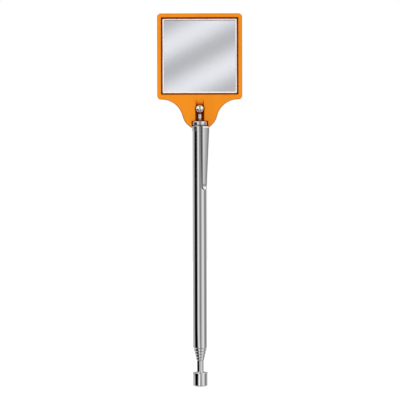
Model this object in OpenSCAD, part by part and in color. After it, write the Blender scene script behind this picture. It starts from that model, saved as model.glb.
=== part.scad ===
// Telescoping inspection mirror with a magnetic pick-up end.
// The origin is the middle of the magnet's working face. +Z runs up the closed tool to the
// mirror, the mirror faces -Y and +X is to the right of someone who looks into it.

/* [Telescoping sections] */
// Outside diameter of the largest tube, which is the handle
outer_d = 8.8; // [8.6:0.05:9.2]
// Drop in outside diameter from one section to the next
section_step = 0.9; // [0.88:0.01:0.96]
// Wall of each tube
wall = 0.26; // [0.24:0.01:0.27]
// Sliding travel of each section
travel = 104; // [60:1:106]
// Height of the smallest tube's mouth above the magnet's face
mouth_low = 15.2; // [14:0.1:17]
// Distance between one mouth and the next while closed
mouth_step = 1.8; // [1.6:0.05:2]
// Height of the handle's top face above the magnet's face
handle_top = 158.4; // [158.4:0.1:162]
// Length of each split friction sleeve
sleeve_h = 12; // [8:0.5:12]

/* [Magnet end] */
// Outside diameter of the magnet cup
cup_d = 9.2; // [9:0.1:10]
// Height of the magnet cup
cup_h = 8.1; // [8:0.1:9]
// Diameter of the magnet
magnet_d = 7.6; // [6.8:0.1:7.8]
// Height of the magnet
magnet_h = 6; // [5:0.1:6.2]

/* [Ball joint] */
// Diameter of the ball
ball_d = 5.6; // [5.4:0.05:5.8]
// Height of the ball's centre above the handle's top face
ball_rise = 7.6; // [7.5:0.1:8]
// Diameter of the stud's stem
stem_d = 2.6; // [2.4:0.1:2.8]
// Radial running clearance of the ball in its socket
ball_play = 0.05; // [0.03:0.01:0.08]

/* [Mirror head] */
// Width of the square part of the frame
frame_w = 51; // [51:0.1:52]
// Height of the square part of the frame
frame_h = 51.5; // [50.5:0.1:53]
// Radius of the frame's corners
frame_corner = 2.2; // [1.6:0.1:2.2]
// Thickness of the square part of the frame
frame_t = 5; // [5:0.1:6]
// Width of the rim beside the glass pocket
rim_w = 2.3; // [1.8:0.05:2.6]
// Width and height of the mirror glass
glass_w = 44.5; // [40:0.1:45]
// Thickness of the mirror glass
glass_t = 2; // [1.8:0.1:2]
// Radius of the round lobe that holds the ball
lobe_r = 10.7; // [9.8:0.1:10.7]
// Radius of the fillets between the lobe and the frame
fillet_r = 13; // [11.5:0.5:13]

/* [Pocket clip] */
// Turn of the clip away from the mirror's side of the tube, in degrees
clip_turn = 32; // [20:1:40]
// Length of the clip's blade
clip_l = 38.1; // [30:0.1:45]
// Width of the blade at its top
clip_w = 5.4; // [4.4:0.1:5.6]
// Width of the blade near its tip
clip_tip_w = 3.2; // [2.4:0.1:4]
// Thickness of the clip's sheet
clip_t = 0.45; // [0.35:0.05:0.5]

/* [Hidden] */
$fn = 96;
eps = 0.01;
cut = 1;

// Sections: 1 is the handle tube, 2 to 5 are the inner tubes and 6 is the solid rod.
lip_h = 1.2;
lip_play = 0.05;
bead_h = 0.5;
stop_gap = 0.2;
sleeve_play_in = 0.03;
sleeve_play_out = 0.05;
bead_play = 0.1;
slit_w = 0.7;
mouth_edge = 0.14;
mouth_ramp = 0.2;
mouth_chamfer = 0.1;
taper_h = 0.55;

function sec_r(k) = outer_d / 2 - (k - 1) * section_step / 2;
function bore_r(k) = sec_r(k) - wall;
function mouth_z(k) = mouth_low + (5 - k) * mouth_step;
function inner_top(k) =
    mouth_z(k - 1) + lip_h + stop_gap + travel + sleeve_h + 2 * bead_h;

// Handle top: collar, plug, stud and its retaining ring
collar_h = 2.2;
collar_r = outer_d / 2 + 0.2;
seam_h = 0.45;
seam_r = outer_d / 2 - 0.4;
shoulder_h = 0.3;
collar_round = 0.35;
// Part of a bend's size at which its middle point lies, from the corner
bend_mid = 0.3;
tube_top = handle_top - collar_h - seam_h - shoulder_h;
plug_h = 7.8;
plug_play = 0.02;
plug_chamfer = 0.2;
plug_bottom = tube_top - plug_h;
shank_play = 0.05;
stud_collar_r = 1.7;
stud_collar_h = 0.5;
face_gap = 0.06;
ring_t = 0.7;
ring_r = 2.4;
ring_groove_r = 1;
ring_play = 0.03;
ring_open = 0.8;
shank_end = 0.9;
ring_top = plug_bottom - 0.1;
ball_z = handle_top + ball_rise;
neck_r = 1;
neck_h = 0.9;

// Depths of the head, along Y, from the ball's centre
front_y = -1.2;
back_y = front_y + frame_t;
boss_back_y = 6;
edge_r = 1;
edge_steps = 2;
frame_bottom = ball_z + 5.8;
frame_top = frame_bottom + frame_h;
pocket_rise = 0.2;
pocket_mid = frame_bottom + frame_h / 2 + pocket_rise;
lobe_z = ball_z - 2.2;
boss_r = lobe_r - 0.5;
boss_chamfer = 0.6;
glass_recess = 0.4;
glass_front = front_y + glass_recess;
bevel_w = 0.75;
bevel_d = 0.45;
back_bevel = 0.2;
silver_t = 0.1;
pad_t = 0.9;
pad_w = glass_w - 4;
silver_w = glass_w - 0.4;
pocket_y = glass_front + glass_t + silver_t + pad_t;
pocket_w = frame_w - 2 * rim_w;
pocket_corner = 0.6;

// Socket, groove for the stem, ramp above it and trough for the handle's top
lip_chamfer = 0.45;
lip_r = ball_d / 2 + 0.3;
groove_r = 2.65;
ramp_w = 4.8;
ramp_top = ball_z + 6.3;
ramp_foot_y = 1;
ramp_foot_z = ball_z + 1;
trough_r = 4.85;
trough_top = handle_top + 0.35;

// Clip: ring on the tube, then a blade that closes towards the tube at its dimple
clip_top = tube_top + 0.2;
clip_ring_h = 3;
clip_ring_r = outer_d / 2 + 0.3;
clip_play = 0.02;
clip_root_r = outer_d / 2 + 2.4;
clip_tip_r = outer_d / 2 + 0.95;
clip_flick = 0.25;
clip_flick_h = 2.4;
clip_bend = 0.6;
clip_foot = 0.1;
clip_shoulder = 2;
dimple_r = 0.9;
dimple_gap = 0.04;
clip_tip = clip_top - clip_l;

// Magnet end
cup_lift = 0.25;
cup_bevel = 0.4;
cup_play = 0.02;
rod_foot = magnet_h + 0.3;

// Colours of the finishes
orange = [0.97, 0.5, 0.08];
chrome = [0.86, 0.87, 0.88];
steel = [0.72, 0.73, 0.75];
bronze = [0.78, 0.55, 0.28];
magnet_grey = [0.3, 0.3, 0.32];
glass_tint = [0.75, 0.85, 0.85, 0.5];
silver = [0.9, 0.91, 0.92];
foam = [0.2, 0.2, 0.2];

// Points on a round stretch of an outline
function arc(cx, cz, r, from, to, steps) = [
    for (i = [0:steps])
        let (a = from + (to - from) * i / steps) [cx + r * cos(a), cz + r * sin(a)]
];

// Right half of the head's outline, from top to bottom, moved inwards by d
fillet_z = frame_bottom - fillet_r;
fillet_x = sqrt(pow(lobe_r + fillet_r, 2) - pow(lobe_z - fillet_z, 2));
tangent = atan2(lobe_z - fillet_z, fillet_x);
corner_x = frame_w / 2 - frame_corner;
joint_turn = 5;
function half_outline(d) = concat(
    arc(corner_x, frame_top - frame_corner, frame_corner - d, 90, 0, 5),
    arc(corner_x, frame_bottom + frame_corner, frame_corner - d, 0, joint_turn - 90, 5),
    arc(fillet_x, fillet_z, fillet_r + d, 90, 180 - tangent, 10),
    arc(0, lobe_z, lobe_r - d, -tangent - joint_turn, joint_turn - 90, 12)
);

function mirrored(points) = [for (i = [len(points) - 1:-1:0]) [-points[i][0], points[i][1]]];
function outline(d) = concat(half_outline(d), mirrored(half_outline(d)));

// Layers of the head's slab, as [depth, inset], with round-over on the front and back edges
slab_layers = concat(
    [
        for (i = [edge_steps:-1:0])
            let (a = 90 * i / edge_steps) [front_y + edge_r * (1 - sin(a)), edge_r * (1 - cos(a))]
    ],
    [
        for (i = [0:edge_steps])
            let (a = 90 * i / edge_steps) [back_y - edge_r * (1 - sin(a)), edge_r * (1 - cos(a))]
    ]
);

// Solid head outline with rounded edges: skins between the layers, caps of mirrored strips
module head_slab() {
    n = len(outline(0));
    h = n / 2;
    m = len(slab_layers);
    points = [
        for (layer = slab_layers)
            for (p = outline(layer[1]))
                [p[0], layer[0], p[1]]
    ];
    sides = [
        for (j = [0:m - 2])
            for (i = [0:n - 1])
                let (i2 = (i + 1) % n) [j * n + i, (j + 1) * n + i, (j + 1) * n + i2, j * n + i2]
    ];
    front = [
        for (i = [0:h - 2])
            [i, i + 1, n - 2 - i, n - 1 - i]
    ];
    back = [
        for (i = [0:h - 2])
            [(m - 1) * n + i, m * n - 1 - i, m * n - 2 - i, (m - 1) * n + i + 1]
    ];
    polyhedron(points, concat(sides, front, back));
}

// Extrudes an outline drawn in X and Z along Y, from y0 to y1
module along_y(y0, y1) {
    translate([0, y1, 0])
        rotate([90, 0, 0])
            linear_extrude(y1 - y0)
                children();
}

// Square outline with rounded corners, in X and Z, at the middle of the pocket
module frame_square(w, r) {
    a = w / 2 - r;
    polygon(concat(
        arc(a, pocket_mid + a, r, 90, 0, 4),
        arc(a, pocket_mid - a, r, 0, -90, 4),
        arc(-a, pocket_mid - a, r, -90, -180, 4),
        arc(-a, pocket_mid + a, r, 180, 90, 4)
    ));
}

module rear_boss() {
    translate([0, back_y - cut, lobe_z])
        rotate([-90, 0, 0]) {
            cylinder(r = boss_r, h = boss_back_y - back_y + cut - boss_chamfer);
            translate([0, 0, boss_back_y - back_y + cut - boss_chamfer])
                cylinder(r1 = boss_r, r2 = boss_r - boss_chamfer, h = boss_chamfer);
        }
}

// Hollow ball seat, open to the front through a lip narrower than the ball
module ball_socket() {
    translate([0, 0, ball_z])
        sphere(r = ball_d / 2 + ball_play);
    translate([0, front_y, ball_z])
        rotate([-90, 0, 0])
            cylinder(r1 = lip_r, r2 = lip_r - lip_chamfer, h = lip_chamfer);
}

// Slot below the ball, in which the stem swings out to the front
module stem_groove() {
    groove_h = ball_z - 1 - (trough_top - cut);
    translate([0, 0, trough_top - cut]) {
        cylinder(r = groove_r, h = groove_h);
        translate([-groove_r, front_y - cut, 0])
            cube([2 * groove_r, cut - front_y, groove_h]);
    }
}

// Ramp above the ball, for the stem at the end of the tilt
module stem_ramp() {
    translate([-ramp_w / 2, 0, 0])
        rotate([90, 0, 90])
            linear_extrude(ramp_w)
                polygon([
                    [front_y, ramp_top],
                    [front_y - cut, ramp_top + cut],
                    [front_y - cut, ball_z],
                    [0, ball_z],
                    [ramp_foot_y, ramp_foot_z]
                ]);
}

// Scoop that clears the top of the handle, its collar and the clip's ring
module handle_trough() {
    low = lobe_z - lobe_r - cut;
    translate([0, 0, low]) {
        cylinder(r = trough_r, h = trough_top - low);
        translate([-trough_r, front_y - cut, 0])
            cube([2 * trough_r, cut - front_y, trough_top - low]);
    }
}

module mirror_frame() {
    color(orange)
        difference() {
            union() {
                head_slab();
                rear_boss();
            }
            along_y(front_y - cut, pocket_y)
                frame_square(pocket_w, pocket_corner);
            ball_socket();
            stem_groove();
            stem_ramp();
            handle_trough();
        }
}

// Square pane with a ground bevel round its face
module mirror_glass() {
    w = glass_w / 2;
    y0 = glass_front;
    y1 = glass_front + glass_t;
    half = [
        [w - bevel_w, y0],
        [w, y0 + bevel_d],
        [w, y1 - back_bevel],
        [w - back_bevel, y1]
    ];
    profile = concat(half, mirrored(half));
    color(glass_tint)
        intersection() {
            translate([0, 0, pocket_mid - w])
                linear_extrude(glass_w)
                    polygon(profile);
            translate([-w, 0, pocket_mid])
                rotate([90, 0, 90])
                    linear_extrude(glass_w)
                        polygon([for (p = profile) [p[1], p[0]]]);
        }
}

// Flat square sheet behind the glass
module sheet(w, y0, t) {
    translate([-w / 2, y0, pocket_mid - w / 2])
        cube([w, t, w]);
}

module mirror_silvering() {
    color(silver)
        sheet(silver_w, glass_front + glass_t, silver_t);
}

module glass_pad() {
    color(foam)
        sheet(pad_w, glass_front + glass_t + silver_t, pad_t);
}

// Cylinder on the tool's axis between two heights
module turned(r, z0, z1) {
    translate([0, 0, z0])
        cylinder(r = r, h = z1 - z0);
}

module ball_stud() {
    groove_top = ring_top + ring_play;
    groove_bottom = ring_top - ring_t - ring_play;
    neck_bottom = ball_z - ball_d / 2 - neck_h / 2;
    stem_r = stem_d / 2;
    color(chrome)
        union() {
            translate([0, 0, ball_z])
                sphere(d = ball_d);
            turned(neck_r, neck_bottom - eps, ball_z);
            turned(stem_r, handle_top, neck_bottom);
            turned(stud_collar_r, handle_top + face_gap, handle_top + face_gap + stud_collar_h);
            turned(stem_r, groove_top, handle_top + eps);
            turned(ring_groove_r, groove_bottom - eps, groove_top + eps);
            turned(stem_r, groove_bottom - shank_end, groove_bottom);
        }
}

// Open ring in the stud's groove, below the plug
module stud_retainer() {
    slot = 2 * ring_groove_r * ring_open;
    color(steel)
        difference() {
            turned(ring_r, ring_top - ring_t, ring_top);
            turned(ring_groove_r + ring_play, ring_top - ring_t - cut, ring_top + cut);
            translate([-slot / 2, 0, ring_top - ring_t - cut])
                cube([slot, ring_r + cut, ring_t + 2 * cut]);
        }
}

// Turned plug that closes the handle: a shoulder on the tube, a narrow groove and a collar
module top_plug() {
    bore = stem_d / 2 + shank_play;
    body = bore_r(1) - plug_play;
    seam_z = tube_top + shoulder_h;
    color(chrome)
        rotate_extrude()
            polygon([
                [bore, plug_bottom],
                [body - plug_chamfer, plug_bottom],
                [body, plug_bottom + plug_chamfer],
                [body, tube_top],
                [sec_r(1), tube_top],
                [sec_r(1), seam_z],
                [seam_r, seam_z],
                [seam_r, seam_z + seam_h],
                [collar_r, seam_z + seam_h],
                [collar_r, handle_top - collar_round],
                [collar_r - collar_round * bend_mid, handle_top - collar_round * bend_mid],
                [collar_r - collar_round, handle_top],
                [bore, handle_top]
            ]);
}

// Side view of the blade: X is the distance from the tube's axis, Y the height
module clip_profile() {
    root = clip_root_r;
    tip = clip_tip_r;
    knee = clip_tip + clip_flick_h;
    foot = outer_d / 2 + clip_foot;
    bend = clip_bend * bend_mid;
    polygon([
        [foot, clip_top],
        [root - clip_bend, clip_top],
        [root - bend, clip_top - bend],
        [root, clip_top - clip_bend],
        [tip, knee],
        [tip + clip_flick, clip_tip],
        [tip + clip_flick - clip_t, clip_tip],
        [tip - clip_t, knee],
        [root - clip_t, clip_top - clip_bend - clip_t / 2],
        [root - clip_bend - clip_t / 2, clip_top - clip_t],
        [foot, clip_top - clip_t]
    ]);
}

// Front view of the blade: it tapers to a round tip
module clip_outline() {
    r = clip_tip_w / 2;
    polygon(concat(
        [[clip_w / 2, clip_top + cut], [clip_w / 2, clip_top - clip_shoulder]],
        arc(0, clip_tip + r, r, 0, -180, 12),
        [[-clip_w / 2, clip_top - clip_shoulder], [-clip_w / 2, clip_top + cut]]
    ));
}

module pocket_clip() {
    reach = clip_root_r + cut;
    dimple_z = clip_tip + clip_flick_h;
    color(chrome)
        union() {
            difference() {
                turned(clip_ring_r, clip_top - clip_ring_h, clip_top);
                turned(outer_d / 2 + clip_play, clip_top - clip_ring_h - cut, clip_top + cut);
            }
            rotate([0, 0, clip_turn - 90]) {
                intersection() {
                    rotate([90, 0, 0])
                        linear_extrude(clip_w + cut, center = true)
                            clip_profile();
                    rotate([90, 0, 90])
                        linear_extrude(reach)
                            clip_outline();
                }
                translate([outer_d / 2 + dimple_gap + dimple_r, 0, dimple_z])
                    sphere(r = dimple_r);
            }
        }
}

// Half profile of a tube with a mouth rolled in to guide the next section
function mouth_profile(k) =
    let (r = sec_r(k), z = mouth_z(k), lip = sec_r(k + 1) + lip_play)
        [
            [lip + mouth_chamfer, z],
            [lip + mouth_edge, z],
            [r, z + taper_h]
        ];

function mouth_inside(k) =
    let (z = mouth_z(k), lip = sec_r(k + 1) + lip_play)
        [
            [bore_r(k), z + lip_h + mouth_ramp],
            [lip, z + lip_h - mouth_ramp],
            [lip, z + mouth_chamfer]
        ];

// Outside of a sliding section's inner end: two beads hold the friction sleeve between them
function beaded_end(k) =
    let (r = sec_r(k), bead = bore_r(k - 1) - bead_play, z = inner_top(k))
        [
            [r, z - 2 * bead_h - sleeve_h],
            [bead, z - 2 * bead_h - sleeve_h],
            [bead, z - bead_h - sleeve_h],
            [r, z - bead_h - sleeve_h],
            [r, z - bead_h],
            [bead, z - bead_h],
            [bead, z]
        ];

module outer_tube() {
    color(chrome)
        rotate_extrude()
            polygon(concat(
                mouth_profile(1),
                [[sec_r(1), tube_top], [bore_r(1), tube_top]],
                mouth_inside(1)
            ));
}

module inner_tube(k) {
    color(chrome)
        rotate_extrude()
            polygon(concat(
                mouth_profile(k),
                beaded_end(k),
                [[bore_r(k), inner_top(k)]],
                mouth_inside(k)
            ));
}

module tube_2() { inner_tube(2); }
module tube_3() { inner_tube(3); }
module tube_4() { inner_tube(4); }
module tube_5() { inner_tube(5); }

module magnet_rod() {
    color(chrome)
        rotate_extrude()
            polygon(concat(
                [[0, rod_foot], [sec_r(6), rod_foot]],
                beaded_end(6),
                [[0, inner_top(6)]]
            ));
}

// Split sleeve that rides in a section's beads and rubs inside the tube outside it
module friction_sleeve(k) {
    top = inner_top(k) - bead_h - sleeve_play_in;
    low = inner_top(k) - bead_h - sleeve_h + sleeve_play_in;
    color(bronze)
        difference() {
            turned(bore_r(k - 1) - sleeve_play_out, low, top);
            turned(sec_r(k) + sleeve_play_in, low - cut, top + cut);
            translate([-slit_w / 2, 0, low - cut])
                cube([slit_w, outer_d / 2, sleeve_h + 2 * cut]);
        }
}

module friction_sleeve_2() { friction_sleeve(2); }
module friction_sleeve_3() { friction_sleeve(3); }
module friction_sleeve_4() { friction_sleeve(4); }
module friction_sleeve_5() { friction_sleeve(5); }
module friction_sleeve_6() { friction_sleeve(6); }

// Steel cup round the magnet, bored at the top for the rod
module magnet_cup() {
    r = cup_d / 2;
    cavity = magnet_d / 2 + cup_play;
    hole = sec_r(6) + cup_play;
    color(chrome)
        rotate_extrude()
            polygon([
                [cavity, cup_lift],
                [r - cup_bevel, cup_lift],
                [r, cup_lift + cup_bevel],
                [r, cup_h - cup_bevel],
                [r - cup_bevel, cup_h],
                [hole, cup_h],
                [hole, magnet_h + cup_play],
                [cavity, magnet_h + cup_play]
            ]);
}

module magnet() {
    color(magnet_grey)
        turned(magnet_d / 2, 0, magnet_h);
}

mirror_frame();
mirror_glass();
mirror_silvering();
glass_pad();
ball_stud();
stud_retainer();
top_plug();
pocket_clip();
outer_tube();
tube_2();
tube_3();
tube_4();
tube_5();
magnet_rod();
friction_sleeve_2();
friction_sleeve_3();
friction_sleeve_4();
friction_sleeve_5();
friction_sleeve_6();
magnet_cup();
magnet();
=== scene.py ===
"""Telescoping inspection mirror with a magnetic pick-up end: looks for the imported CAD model.

The frame is the CAD's own, in metres: the origin is the middle of the magnet's face, +Z runs up
the tool, the mirror faces -Y and +X is to the right of someone who looks into it.
"""

import math

import bmesh
import bpy
from mathutils import Matrix, Vector


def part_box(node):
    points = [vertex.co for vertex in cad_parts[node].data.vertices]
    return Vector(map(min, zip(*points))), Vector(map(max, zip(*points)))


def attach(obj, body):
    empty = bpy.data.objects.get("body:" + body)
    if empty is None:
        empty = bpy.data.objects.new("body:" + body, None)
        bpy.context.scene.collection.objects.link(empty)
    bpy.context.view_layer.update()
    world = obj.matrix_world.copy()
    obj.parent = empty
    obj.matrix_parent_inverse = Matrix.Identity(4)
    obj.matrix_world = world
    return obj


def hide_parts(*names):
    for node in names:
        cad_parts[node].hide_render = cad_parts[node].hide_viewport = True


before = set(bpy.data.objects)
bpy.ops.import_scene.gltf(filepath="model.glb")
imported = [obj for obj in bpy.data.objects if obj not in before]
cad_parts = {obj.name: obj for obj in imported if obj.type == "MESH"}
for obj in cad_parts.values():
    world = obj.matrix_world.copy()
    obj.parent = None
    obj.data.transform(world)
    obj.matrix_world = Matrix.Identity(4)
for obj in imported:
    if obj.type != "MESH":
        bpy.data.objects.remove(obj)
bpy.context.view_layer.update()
scene = bpy.context.scene

MM = 0.001
# Points round a turned piece
TURN_STEPS = 128
# Edges that bend more than this stay sharp in shading; the clip's bends need more
SHARP = math.radians(32)
SHARP_SHEET = math.radians(50)
# Largest turn between two points of a rounded corner
ROUND_STEP = math.radians(12)
# Most of an edge that the rounding of one corner may take
ROUND_SHARE = 0.48
# Distance from a rounded corner to the point that keeps the flat beside it flat
GUARD = 0.12 * MM
# A radius below this lies on the axis
TINY = 1e-7


# ---------------------------------------------------------------- dimensions

# Sections: the handle is 1, the inner tubes are 2 to 5 and the rod is 6.
SECTION_DROP = 0.45 * MM
WALL = 0.26 * MM
LIP_PLAY = 0.05 * MM
LIP_H = 1.2 * MM
LIP_RAMP = 0.2 * MM
MOUTH_EDGE = 0.14 * MM
MOUTH_TAPER_H = 0.55 * MM
BEAD_H = 0.5 * MM
BEAD_PLAY = 0.1 * MM
SLEEVE_H = 12 * MM
# Clearance of a pressed fit
PRESS_PLAY = 0.02 * MM

handle_low, handle_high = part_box("outer_tube")
HANDLE_R = handle_high.x
TUBE_TOP = handle_high.z
plug_low, plug_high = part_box("top_plug")
HANDLE_TOP = plug_high.z
COLLAR_R = plug_high.x
stud_low, stud_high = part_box("ball_stud")
BALL_R = stud_high.x
BALL_Z = stud_high.z - BALL_R
STEM_R = 1.3 * MM
frame_low, frame_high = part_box("mirror_frame")
glass_low, glass_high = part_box("mirror_glass")
MIRROR_Z = (glass_low.z + glass_high.z) / 2
FRONT_Y = frame_low.y
HALF_W = frame_high.x
FRAME_H = 51.5 * MM
FRAME_T = 5 * MM
FRAME_TOP = frame_high.z
FRAME_BOTTOM = FRAME_TOP - FRAME_H
BACK_Y = FRONT_Y + FRAME_T
BOSS_Y = frame_high.y
LOBE_R = 10.7 * MM
LOBE_Z = frame_low.z + LOBE_R


def section_r(k):
    """Outside radius of section k."""
    return HANDLE_R - (k - 1) * SECTION_DROP


# ---------------------------------------------------------------- mesh helpers


def rounded(corners):
    """Points of a closed outline given as (x, y, radius) corners, with an arc at each radius."""
    points = []
    count = len(corners)
    for i, (x, y, radius) in enumerate(corners):
        corner = Vector((x, y))
        back = Vector(corners[i - 1][:2]) - corner
        ahead = Vector(corners[(i + 1) % count][:2]) - corner
        if radius <= 0:
            points.append(corner)
            continue
        back_l, ahead_l = back.length, ahead.length
        back /= back_l
        ahead /= ahead_l
        half = math.acos(max(-1, min(1, back.dot(ahead)))) / 2
        reach = min(radius / math.tan(half), ROUND_SHARE * back_l, ROUND_SHARE * ahead_l)
        size = reach * math.tan(half)
        centre = corner + (back + ahead).normalized() * (size / math.sin(half))
        start = corner + back * reach
        end = corner + ahead * reach
        turn = (start - centre).angle_signed(end - centre)
        steps = max(3, math.ceil(abs(turn) / ROUND_STEP))
        if back_l > 2 * (reach + GUARD):
            points.append(start + back * GUARD)
        for j in range(steps + 1):
            points.append(centre + Matrix.Rotation(-turn * j / steps, 2) @ (start - centre))
        if ahead_l > 2 * (reach + GUARD):
            points.append(end + ahead * GUARD)
    return [tuple(p) for p in points]


def arc(cx, cy, r, start, end, steps):
    """Points of an arc from one angle to another, in degrees."""
    angles = [math.radians(start + (end - start) * i / steps) for i in range(steps + 1)]
    return [(cx + r * math.cos(a), cy + r * math.sin(a)) for a in angles]


def finish_mesh(bm, name, sharp=SHARP):
    """Makes an object of a bmesh, shaded smooth apart from its sharp edges."""
    bmesh.ops.recalc_face_normals(bm, faces=bm.faces)
    mesh = bpy.data.meshes.new(name)
    bm.to_mesh(mesh)
    bm.free()
    obj = bpy.data.objects.new(name, mesh)
    scene.collection.objects.link(obj)
    shade(obj, sharp)
    return obj


def shade(obj, sharp=SHARP):
    """Smooth shading that stops at the edges that bend more than an angle."""
    obj.data.shade_smooth()
    obj.data.set_sharp_from_angle(angle=sharp)


def lathe(name, outline, steps=TURN_STEPS):
    """Turns a closed outline of (radius, height) about the tool's axis."""
    bm = bmesh.new()
    rings = []
    for r, z in outline:
        if r < TINY:
            rings.append([bm.verts.new((0, 0, z))])
            continue
        ring = []
        for j in range(steps):
            a = 2 * math.pi * j / steps
            ring.append(bm.verts.new((r * math.cos(a), r * math.sin(a), z)))
        rings.append(ring)
    for i, ring in enumerate(rings):
        join_rings(bm, rings[i - 1], ring)
    return finish_mesh(bm, name)


def join_rings(bm, a, b):
    """Faces between two closed rings of the same length, or between a ring and a point."""
    if len(a) == 1 and len(b) == 1:
        return
    count = max(len(a), len(b))
    for j in range(count):
        j2 = (j + 1) % count
        if len(a) == 1:
            bm.faces.new((a[0], b[j], b[j2]))
        elif len(b) == 1:
            bm.faces.new((a[j], a[j2], b[0]))
        else:
            bm.faces.new((a[j], a[j2], b[j2], b[j]))


def skin(name, loops, sharp=SHARP):
    """Solid skinned over closed loops of 3-D points, with a flat cap at each end."""
    bm = bmesh.new()
    rings = [[bm.verts.new(p) for p in loop] for loop in loops]
    for a, b in zip(rings, rings[1:]):
        join_rings(bm, a, b)
    bm.faces.new(list(reversed(rings[0])))
    bm.faces.new(rings[-1])
    return finish_mesh(bm, name, sharp)


def flat_faces(obj):
    """Shades a solid of flat faces without any smoothing."""
    for face in obj.data.polygons:
        face.use_smooth = False


def combine(obj, other, operation):
    """Adds or cuts the other solid, which is used up."""
    modifier = obj.modifiers.new("combine", "BOOLEAN")
    modifier.operation = operation
    modifier.solver = "EXACT"
    modifier.object = other
    bpy.context.view_layer.update()
    depsgraph = bpy.context.evaluated_depsgraph_get()
    mesh = bpy.data.meshes.new_from_object(obj.evaluated_get(depsgraph))
    obj.modifiers.clear()
    old = obj.data
    obj.data = mesh
    bpy.data.meshes.remove(old)
    used = other.data
    bpy.data.objects.remove(other)
    bpy.data.meshes.remove(used)


def even_normals(obj):
    """Keeps large flat faces flat in shading where they meet round edges."""
    modifier = obj.modifiers.new("even_normals", "WEIGHTED_NORMAL")
    modifier.keep_sharp = True
    modifier.weight = 80


def place(obj, body, slot, material, *nodes):
    """Gives a piece its body and material, and hides the CAD nodes that it stands for; the slot is not
    used.
    """
    obj.data.materials.clear()
    obj.data.materials.append(material)
    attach(obj, body)
    if nodes:
        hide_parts(*nodes)


# ---------------------------------------------------------------- shader helpers


AO_SAMPLES = 8


class Graph:
    """Short calls for building a node tree."""

    def __init__(self, tree):
        self.tree = tree
        tree.nodes.clear()

    def node(self, kind, **settings):
        made = self.tree.nodes.new(kind)
        for key, value in settings.items():
            setattr(made, key, value)
        return made

    def feed(self, value, socket):
        """Links a socket, or sets a plain value."""
        if isinstance(value, bpy.types.NodeSocket):
            self.tree.links.new(value, socket)
        else:
            socket.default_value = value

    def math(self, operation, a, b=0.0, c=0.0):
        made = self.node("ShaderNodeMath", operation=operation)
        for value, socket in zip((a, b, c), made.inputs):
            self.feed(value, socket)
        return made.outputs[0]

    def mix(self, factor, a, b):
        """Colour a where the factor is 0 and b where it is 1."""
        made = self.node("ShaderNodeMix", data_type="RGBA")
        self.feed(factor, made.inputs["Factor"])
        self.feed(a, made.inputs[6])
        self.feed(b, made.inputs[7])
        return made.outputs[2]

    def mix_value(self, factor, a, b):
        """Number a where the factor is 0 and b where it is 1."""
        keep = self.math("MULTIPLY", a, self.math("SUBTRACT", 1.0, factor))
        return self.math("ADD", keep, self.math("MULTIPLY", b, factor))

    def step(self, value, low, high):
        """Smooth step from 0 at low to 1 at high; low may be the larger number."""
        made = self.node("ShaderNodeMapRange", interpolation_type="SMOOTHSTEP")
        self.feed(value, made.inputs["Value"])
        made.inputs["From Min"].default_value = low
        made.inputs["From Max"].default_value = high
        return made.outputs["Result"]

    def spread(self, value, low, high):
        """Maps 0 to 1 on to a range."""
        made = self.node("ShaderNodeMapRange")
        self.feed(value, made.inputs["Value"])
        made.inputs["To Min"].default_value = low
        made.inputs["To Max"].default_value = high
        return made.outputs["Result"]

    def ramp(self, value, stops):
        """Grey levels eased between (position, level) stops."""
        made = self.node("ShaderNodeValToRGB")
        made.color_ramp.interpolation = "EASE"
        elements = made.color_ramp.elements
        while len(elements) > 1:
            elements.remove(elements[-1])
        elements[0].position = stops[0][0]
        elements[0].color = (stops[0][1],) * 3 + (1,)
        for position, level in stops[1:]:
            element = elements.new(position)
            element.color = (level,) * 3 + (1,)
        self.feed(value, made.inputs["Fac"])
        return made.outputs["Color"]

    def object_noise(self, scale, stretch=(1, 1, 1), detail=2.0, roughness=0.5, seed=0.0):
        """Noise over the piece's own coordinates; scale times stretch is in waves per metre."""
        coordinates = self.node("ShaderNodeTexCoord")
        mapping = self.node("ShaderNodeMapping")
        mapping.inputs["Scale"].default_value = stretch
        mapping.inputs["Location"].default_value = (seed, seed, seed)
        self.feed(coordinates.outputs["Object"], mapping.inputs["Vector"])
        noise = self.node("ShaderNodeTexNoise")
        noise.inputs["Scale"].default_value = scale
        noise.inputs["Detail"].default_value = detail
        noise.inputs["Roughness"].default_value = roughness
        self.feed(mapping.outputs["Vector"], noise.inputs["Vector"])
        return noise.outputs["Fac"]

    def scaled(self, colour, value):
        """One colour times a value that varies."""
        made = self.node("ShaderNodeVectorMath", operation="SCALE")
        made.inputs[0].default_value = colour
        self.feed(value, made.inputs["Scale"])
        return made.outputs["Vector"]

    def openness(self, distance):
        """1 on an open surface, towards 0 deep in a corner or a gap."""
        made = self.node("ShaderNodeAmbientOcclusion", samples=AO_SAMPLES)
        made.inputs["Distance"].default_value = distance
        return made.outputs["AO"]

    def bump(self, height, distance, normal=None):
        """Normal of a relief of the given depth in metres, on top of another if one is given."""
        made = self.node("ShaderNodeBump")
        made.inputs["Strength"].default_value = 1.0
        made.inputs["Distance"].default_value = distance
        self.feed(height, made.inputs["Height"])
        if normal is not None:
            self.feed(normal, made.inputs["Normal"])
        return made.outputs["Normal"]


# Fine lines of a finish, in waves per metre along X, Y and Z
DRAWN = (5200, 5200, 45)
TURNED = (260, 260, 9000)
BRUSHED = (900, 900, 60)
GROUND = (2600, 300, 2600)


def new_material(name):
    """A material with an empty Principled surface, as (material, graph, shader)."""
    material = bpy.data.materials.new(name)
    material.use_nodes = True
    graph = Graph(material.node_tree)
    shader = graph.node("ShaderNodeBsdfPrincipled")
    output = graph.node("ShaderNodeOutputMaterial")
    graph.feed(shader.outputs["BSDF"], output.inputs["Surface"])
    return material, graph, shader


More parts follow.
